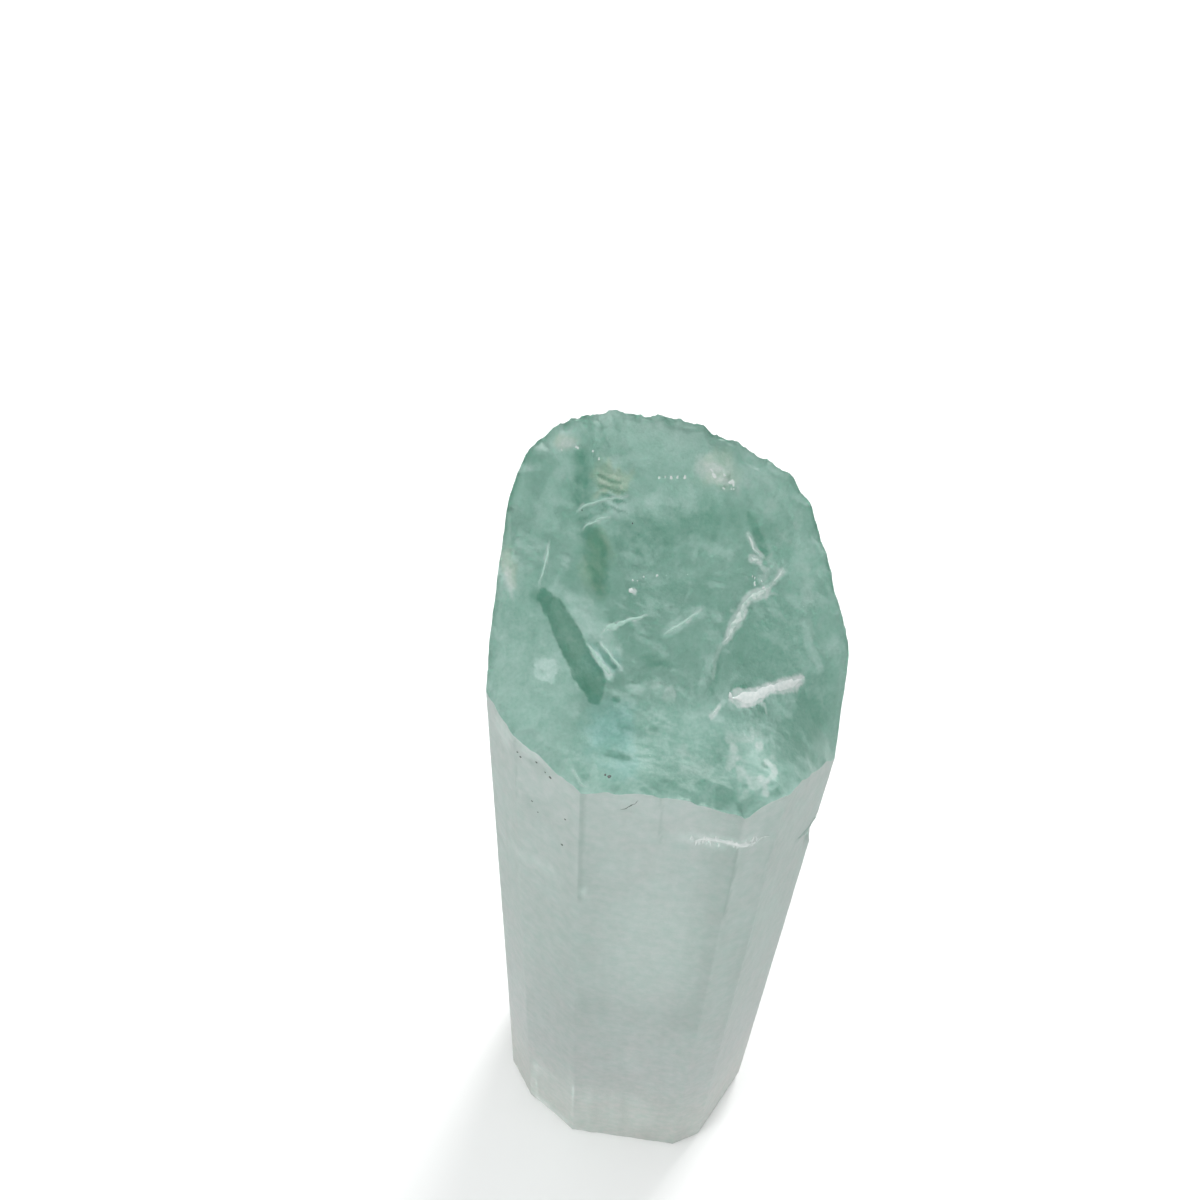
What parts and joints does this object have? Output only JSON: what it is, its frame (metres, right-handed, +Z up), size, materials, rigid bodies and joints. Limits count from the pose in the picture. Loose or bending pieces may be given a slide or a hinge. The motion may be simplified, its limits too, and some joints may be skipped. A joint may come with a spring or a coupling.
{
  "type": "aquamarine crystal",
  "caption": "Clear blue-green beryl prism standing on its flat lower end, broken off at an angle on top in a shell-shaped fracture.",
  "frame": {"origin": "centre of the crystal's box at its flat lower end, the face it stands on", "axes": "+Z up the prism's growth axis, -Y towards the low front of the fracture, +X to the right seen from the front"},
  "size_m": [0.024, 0.0216, 0.0782],
  "materials": {
    "crystal": "clear pale green beryl, faintly etched prism faces, fresh glassy fracture on top"
  },
  "bodies": {
    "root": {"crystal": "crystal"}
  },
  "joints": []
}
